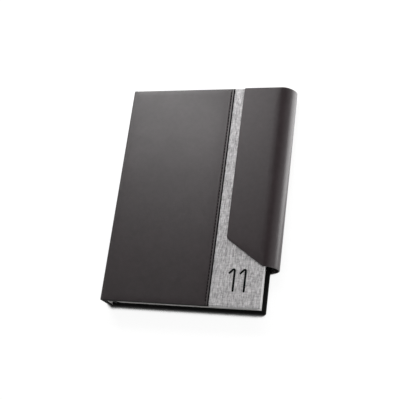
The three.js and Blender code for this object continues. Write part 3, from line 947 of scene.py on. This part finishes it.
upper_curve = quarter_curve(flat_end_x, FLAP_FACE)
lower_curve = quarter_curve(GUSSET_START_X, 0.0)[::-1]
wrap_place, wrap_length = along_section(
    [(FLAP_LEFT_X, FLAP_FACE), (FLAP_LEFT_X + 10 * MM, FLAP_FACE),
     (flat_end_x - 6 * MM, FLAP_FACE), (flat_end_x - 2 * MM, FLAP_FACE),
     *upper_curve, *lower_curve],
    outward_left=True)
flat_run = flat_end_x - FLAP_LEFT_X
slant_end = FORE_X - SLANT_SHORTFALL - FLAP_LEFT_X
gusset_depth = LEATHER_THICK + SKIVED + 0.1 * MM
slant = math.hypot(slant_end, FLAP_CORNER_Y - FLAP_TAIL_Y)


def wrap_depth(s):
    return stepped(s, [flat_run + 2 * MM], [flap_depth_here, gusset_depth], 3 * MM)


def wrap_relief(s, t):
    past = s - flat_run - CREASE_PAST_BEND
    reach = np.where(past < 0, *CREASE_REACHES)
    crease = -CREASE_DEPTH * np.exp(-(past / reach) ** 2)
    return crease * eased(np.minimum(t - FLAP_TAIL_Y, HEAD_Y - t) - 1 * MM, END_FADE)


tail_stops = even(2.5 * MM, wrap_length - slant_end - 0.8 * MM, 1.1 * MM)
wrap = fold_sheet(
    "flap_and_gusset_leather",
    [Corner(0, FLAP_CORNER_Y, FLAP_CORNER_ROUND, 8),
     Corner(slant_end, FLAP_TAIL_Y, FLAP_CORNER_ROUND, 6, is_mark=False),
     Corner(wrap_length, FLAP_TAIL_Y), Corner(wrap_length, HEAD_Y),
     Corner(0, HEAD_Y, FLAP_HEAD_ROUND, 8)],
    [(True, even(4 * MM, slant - 3 * MM, 2.5 * MM)), (True, tail_stops), (False, "across"),
     (True, "across"), (True, even(3 * MM, HEAD_Y - FLAP_CORNER_Y - 4 * MM, 4 * MM))],
    wrap_place, wrap_depth, FLAP_ROUND, LEATHER_THICK, FLAP_LEATHER, turned=SKIVED,
    turn_in=FLAP_TURN_IN, relief=wrap_relief)
report(wrap)
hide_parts("flap_leather", "gusset_leather")
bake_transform(wrap)

# %% [markdown]
# ## Cloth lining
# The inside of the flap and gusset is faced with black cloth, cut a little smaller than
# the leather so that a border of leather shows round it. It follows the same section,
# one leather deeper.

# %% Flap and gusset lining
LINING_BORDER = 2.5 * MM
LINING_THICK = 0.2 * MM
LINING_SUNK = 0.08 * MM
LINING_ROUND = 3 * MM
LINING_HEAD_ROUND = 1 * MM


def lining_place(s, t, depth):
    return wrap_place(s, t, wrap_depth(s) - LINING_SUNK + depth)


lining_start = LINING_BORDER
lining_end = wrap_length - 1.2 * MM
lining_tail = FLAP_TAIL_Y + LINING_BORDER
lining_head = HEAD_Y - LINING_BORDER
lining_corner = FLAP_CORNER_Y + LINING_BORDER * 0.75
lining = fold_sheet(
    "flap_lining_cloth",
    [Corner(lining_start, lining_corner, LINING_ROUND, 8),
     Corner(slant_end, lining_tail, LINING_ROUND, 6, is_mark=False),
     Corner(lining_end, lining_tail), Corner(lining_end, lining_head),
     Corner(lining_start, lining_head, LINING_HEAD_ROUND, 8)],
    [(False, even(4 * MM, 36 * MM, 2.5 * MM)),
     (False, even(2.5 * MM, lining_end - slant_end - 1 * MM, 1.4 * MM)), (False, "across"),
     (False, "across"), (False, even(3 * MM, HEAD_Y - FLAP_CORNER_Y - 8 * MM, 5 * MM))],
    lining_place, lambda s: LINING_THICK + 0 * s, 0.0, LINING_THICK, LINING)
report(lining)
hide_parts("flap_lining", "gusset_lining_upper", "gusset_lining_lower")
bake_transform(lining)

# %% [markdown]
# ## Stitches
# The seam has one stitch every 3.2 mm. A stitch is a short thread that comes out of one
# needle hole, arches over the leather and goes down the next, so it is a bent tube. A
# node tree lays copies of it along a line; its pitch, length and thickness are inputs.


# %% Seam thread
def seam_thread(place):
    twist = wave(place, "DIAGONAL", 520.0, 0.5)
    return dict(Base_Color=mix(twist, grey(0.003), grey(0.010)), Roughness=0.85,
                Specular_IOR_Level=0.15, Normal=bump(twist, 0.00005, 0.8))


THREAD = make_finish("seam_thread", seam_thread)


# %% A node tree that sews along a line
LEAST_AND_MOST_SWAY = (0.0, 0.0, 0.02), (0.0, 0.0, 0.10)


def sewing_tree():
    tree = bpy.data.node_groups.new("sewing", "GeometryNodeTree")
    wanted = (("Start", "Vector"), ("End", "Vector"), ("Pitch", "Float"), ("Length", "Float"),
              ("Thread Radius", "Float"), ("Rise", "Float"), ("Thread", "Material"))
    for name, kind in wanted:
        tree.interface.new_socket(name, in_out="INPUT", socket_type=f"NodeSocket{kind}")
    tree.interface.new_socket("Stitches", in_out="OUTPUT", socket_type="NodeSocketGeometry")
    given = add_node(tree, "NodeGroupInput")

    def step(kind, **named):
        return add_node(tree, "GeometryNode" + kind, **named)[0]

    line = step("CurvePrimitiveLine", Start=given["Start"], End=given["End"])
    points = step("ResampleCurve", Curve=line, Length=given["Pitch"], mode="LENGTH")
    half, rise = given["Length"] * 0.5, given["Rise"]
    start, middle, end = [
        add_node(tree, "ShaderNodeCombineXYZ", Y=y, Z=z)[0]
        for y, z in ((half * -1.0, rise * -1.0), (0.0, rise * 2.6), (half, rise * -1.0))]
    arch = step("CurveQuadraticBezier", Resolution=7, Start=start, Middle=middle, End=end)
    ring = step("CurvePrimitiveCircle", Resolution=7, Radius=given["Thread Radius"])
    stitch = step("CurveToMesh", Curve=arch, Profile_Curve=ring, Fill_Caps=True)
    sway = add_node(tree, "FunctionNodeRandomValue", *LEAST_AND_MOST_SWAY, Seed=7,
                    data_type="FLOAT_VECTOR")[0]
    sewn = step("InstanceOnPoints", Points=points, Instance=stitch, Rotation=sway)
    smooth = step("SetShadeSmooth", Geometry=step("RealizeInstances", Geometry=sewn))
    dressed = step("SetMaterial", Geometry=smooth, Material=given["Thread"])
    add_node(tree, "NodeGroupOutput", dressed)
    return tree


def grown(name, tree, **values):
    piece = placed(name, bpy.data.meshes.new(name))
    modifier = piece.modifiers.new("grow", "NODES")
    modifier.node_group = tree
    for socket in tree.interface.items_tree:
        if socket.in_out == "INPUT":
            modifier[socket.identifier] = values[socket.name.replace(" ", "_")]
    evaluated = piece.evaluated_get(bpy.context.evaluated_depsgraph_get())
    mesh = bpy.data.meshes.new_from_object(evaluated)
    piece.modifiers.clear()
    piece.data = mesh
    return piece


# %% Sew the seam
THREAD_RADIUS = 0.36 * MM
THREAD_SUNK = 0.18 * MM
STITCH_LENGTH = 2.0 * MM
STITCH_RISE = 0.12 * MM
thread_z = LEATHER_FACE - THREAD_SUNK
stitches = grown(
    "seam_stitches", sewing_tree(),
    Start=(seam_x, TAIL_Y + STITCH_PITCH / 2, thread_z),
    End=(seam_x, HEAD_Y - STITCH_PITCH / 2, thread_z),
    Pitch=STITCH_PITCH, Length=STITCH_LENGTH, Thread_Radius=THREAD_RADIUS,
    Rise=STITCH_RISE, Thread=THREAD)
report(stitches)
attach(stitches, "front_cover")

# %% [markdown]
# ## A plain number
# The linen carries a plain two-digit day number near the tail. Each digit is one stroke
# of even width, a line with a round bend, so it is drawn as a path and widened into a
# thin raised film of ink.


# %% Ink
def number_ink(place):
    cracks = noise(place, 1800.0, 3.0)
    return dict(Base_Color=mix(ramp(cracks, 0.3, 0.7), grey(0.002), grey(0.006)),
                Roughness=0.7, Specular_IOR_Level=0.15, Normal=bump(cracks, 0.00003, 0.5))


INK = make_finish("number_ink", number_ink)


# %% Widen a path into a stroke with round ends
def stroke_rim(path, width, end_steps=6):
    path = np.array(path, float)
    tangent = np.gradient(path, axis=0)
    tangent /= np.linalg.norm(tangent, axis=1)[:, None]
    across = np.stack([-tangent[:, 1], tangent[:, 0]], axis=1) * width / 2
    angles = np.linspace(0, math.pi, end_steps + 1)[1:-1, None]
    far_end = path[-1] + across[-1] * np.cos(angles) + tangent[-1] * np.sin(angles) * width / 2
    near_end = path[0] - across[0] * np.cos(angles) - tangent[0] * np.sin(angles) * width / 2
    return np.concatenate([path + across, far_end, (path - across)[::-1], near_end])


def ink_strokes(name, paths, width, low, high, finish):
    mesh = bpy.data.meshes.new(name)
    body = bmesh.new()
    for path in paths:
        rim = stroke_rim(path, width)
        bottom, top = [[body.verts.new((x, y, z)) for x, y in rim] for z in (low, high)]
        for k in range(len(rim)):
            following = (k + 1) % len(rim)
            body.faces.new((bottom[k], bottom[following], top[following], top[k]))
        for ring in (bottom, top):
            body.faces.new(ring)
    bmesh.ops.recalc_face_normals(body, faces=body.faces)
    bmesh.ops.triangulate(body, faces=[f for f in body.faces if len(f.verts) > 4])
    body.to_mesh(mesh)
    body.free()
    mesh.materials.append(finish)
    return placed(name, mesh)


# %% The digits
DIGIT_HEIGHT = 20 * MM
DIGIT_STEP = 10 * MM
FLAG_WIDTH = 4.5 * MM
FLAG_BEND = 0.9 * MM
STROKE = 1.95 * MM
NUMBER_LEFT_X = SPINE_X + 119 * MM
NUMBER_LOW_Y = TAIL_Y + 14.5 * MM
INK_SUNK = 0.02 * MM
INK_HIGH = 0.05 * MM


def one(x, y):
    stem = x + FLAG_WIDTH
    top = y + DIGIT_HEIGHT
    flag = [(x, top - 4 * MM), (stem - 1.6 * MM, top - 0.9 * MM)]
    bend = arc(stem - FLAG_BEND, top - 1.7 * MM, FLAG_BEND, 100, 0, steps=15)
    return [*flag, *bend, (stem, y + DIGIT_HEIGHT / 2), (stem, y)]


number = ink_strokes(
    "day_number", [one(NUMBER_LEFT_X + step, NUMBER_LOW_Y) for step in (0, DIGIT_STEP)],
    STROKE, FABRIC_FACE - INK_SUNK, FABRIC_FACE + INK_HIGH, INK)
report(number)
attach(number, "front_cover")

# %% [markdown]
# ## Studio
# The planner lies on a white sweep. A large soft lamp near the head gives the covers
# their long gradient from head to tail. An oval one lies on the floor beside the gusset
# and faces up, for the light rim there. Three weak ones brighten the head, the side and
# the tail and don't show in reflections, and a dim surround fills the rest. The floor is
# white to the camera and to reflections and keeps the planner's shadow. The dark strip
# along the planner's tail and spine isn't cast by a lamp: an occlusion node looks from
# there towards the fore edge and the head, and the planner stands in its way.

# %% Floor
FLOOR_HALF = 3.0
STRIP_REACH = 8 * MM
STRIP_LOOKS = (0.66, 0.64, 0.39)
FLOOR_GLOW = 0.9


def sweep_white():
    finish = bpy.data.materials.new("sweep_white")
    finish.use_nodes = True
    tree = finish.node_tree
    tree.nodes.clear()
    rays = add_node(tree, "ShaderNodeLightPath")
    mirrored = rays["Is Glossy Ray"].math("MAXIMUM", rays["Is Transmission Ray"])
    seen = rays["Is Camera Ray"].math("MAXIMUM", mirrored)
    looks = add_node(tree, "ShaderNodeCombineXYZ", *STRIP_LOOKS)[0]
    near = add_node(tree, "ShaderNodeAmbientOcclusion", Distance=STRIP_REACH, Normal=looks,
                    samples=16)["AO"]
    glow = add_node(tree, "ShaderNodeEmission", Color=grey(1.0),
                    Strength=ramp(near, 0.56, 0.72) * FLOOR_GLOW)[0]
    plain, matt = [add_node(tree, "ShaderNodeBsdfDiffuse", Color=grey(level))[0]
                   for level in (0.5, 0.18)]
    shown = add_node(tree, "ShaderNodeAddShader", glow, matt)[0]
    picked = add_node(tree, "ShaderNodeMixShader", seen, plain, shown)[0]
    add_node(tree, "ShaderNodeOutputMaterial", picked)
    return finish


floor_mesh = bpy.data.meshes.new("floor")
floor_mesh.from_pydata([(-FLOOR_HALF, -FLOOR_HALF, 0), (FLOOR_HALF, -FLOOR_HALF, 0),
                        (FLOOR_HALF, FLOOR_HALF, 0), (-FLOOR_HALF, FLOOR_HALF, 0)],
                       [], [(0, 1, 2, 3)])
floor_mesh.materials.append(sweep_white())
floor = placed("floor", floor_mesh)


# %% Lamps
def soft_lamp(name, place, target, width, height, power, mirrored=True, shape="RECTANGLE"):
    data = bpy.data.lights.new(name, "AREA")
    data.shape = shape
    data.size = width
    data.size_y = height
    data.energy = power
    lamp = placed(name, data)
    aim = (Vector(target) - Vector(place)).to_track_quat("-Z", "Y")
    lamp.matrix_world = Matrix.Translation(place) @ aim.to_matrix().to_4x4()
    lamp.visible_camera = False
    lamp.visible_glossy = mirrored


soft_lamp("key_lamp", (-0.47, 0.735, 0.54), (0.0, 0.0, 0.02), 0.42, 1.06, 4.6)
soft_lamp("fore_edge_lamp", (0.130, 0.10, 0.002), (0.130, 0.10, 1.0), 0.09, 0.34, 0.173,
          shape="ELLIPSE")
soft_lamp("head_fill", (0.03, 0.14, 0.30), (0.03, 0.11, 0.02), 0.30, 0.10, 0.57, mirrored=False)
soft_lamp("side_fill", (0.50, -0.12, 0.05), (0.08, -0.05, 0.02), 0.3, 0.09, 1.0, mirrored=False)
soft_lamp("tail_fill", (0.0, -0.50, 0.15), (0.0, -0.1, 0.01), 0.4, 0.2, 0.16, mirrored=False)


# %% Surround: one light for the planner, one for its reflections, white for the camera
def surround():
    world = bpy.data.worlds.new("surround")
    world.use_nodes = True
    tree = world.node_tree
    tree.nodes.clear()
    rays = add_node(tree, "ShaderNodeLightPath")
    across, along, _ = split(add_node(tree, "ShaderNodeTexCoord")["Generated"])
    dim = ramp(across, -0.5, 0.0, 0.25, 0.01)
    tail_side = ramp(along, -0.2, -0.6, 0.0, 0.3)
    fore_side = ramp(across, 0.4, 0.95, 0.0, 0.6)
    reflected = dim.math("MAXIMUM", tail_side.math("MAXIMUM", fore_side))
    even_light = ramp(along, -0.8, 0.8, 0.12, 0.62)
    lit, mirrored, white = [
        add_node(tree, "ShaderNodeBackground", Color=grey(1.0), Strength=strength)[0]
        for strength in (even_light, reflected, 1.0)]
    unseen = add_node(tree, "ShaderNodeMixShader", rays["Is Glossy Ray"], lit, mirrored)[0]
    picked = add_node(tree, "ShaderNodeMixShader", rays["Is Camera Ray"], unseen, white)[0]
    add_node(tree, "ShaderNodeOutputWorld", picked)
    return world


bpy.context.scene.world = surround()
print("world:", bpy.context.scene.world.name)
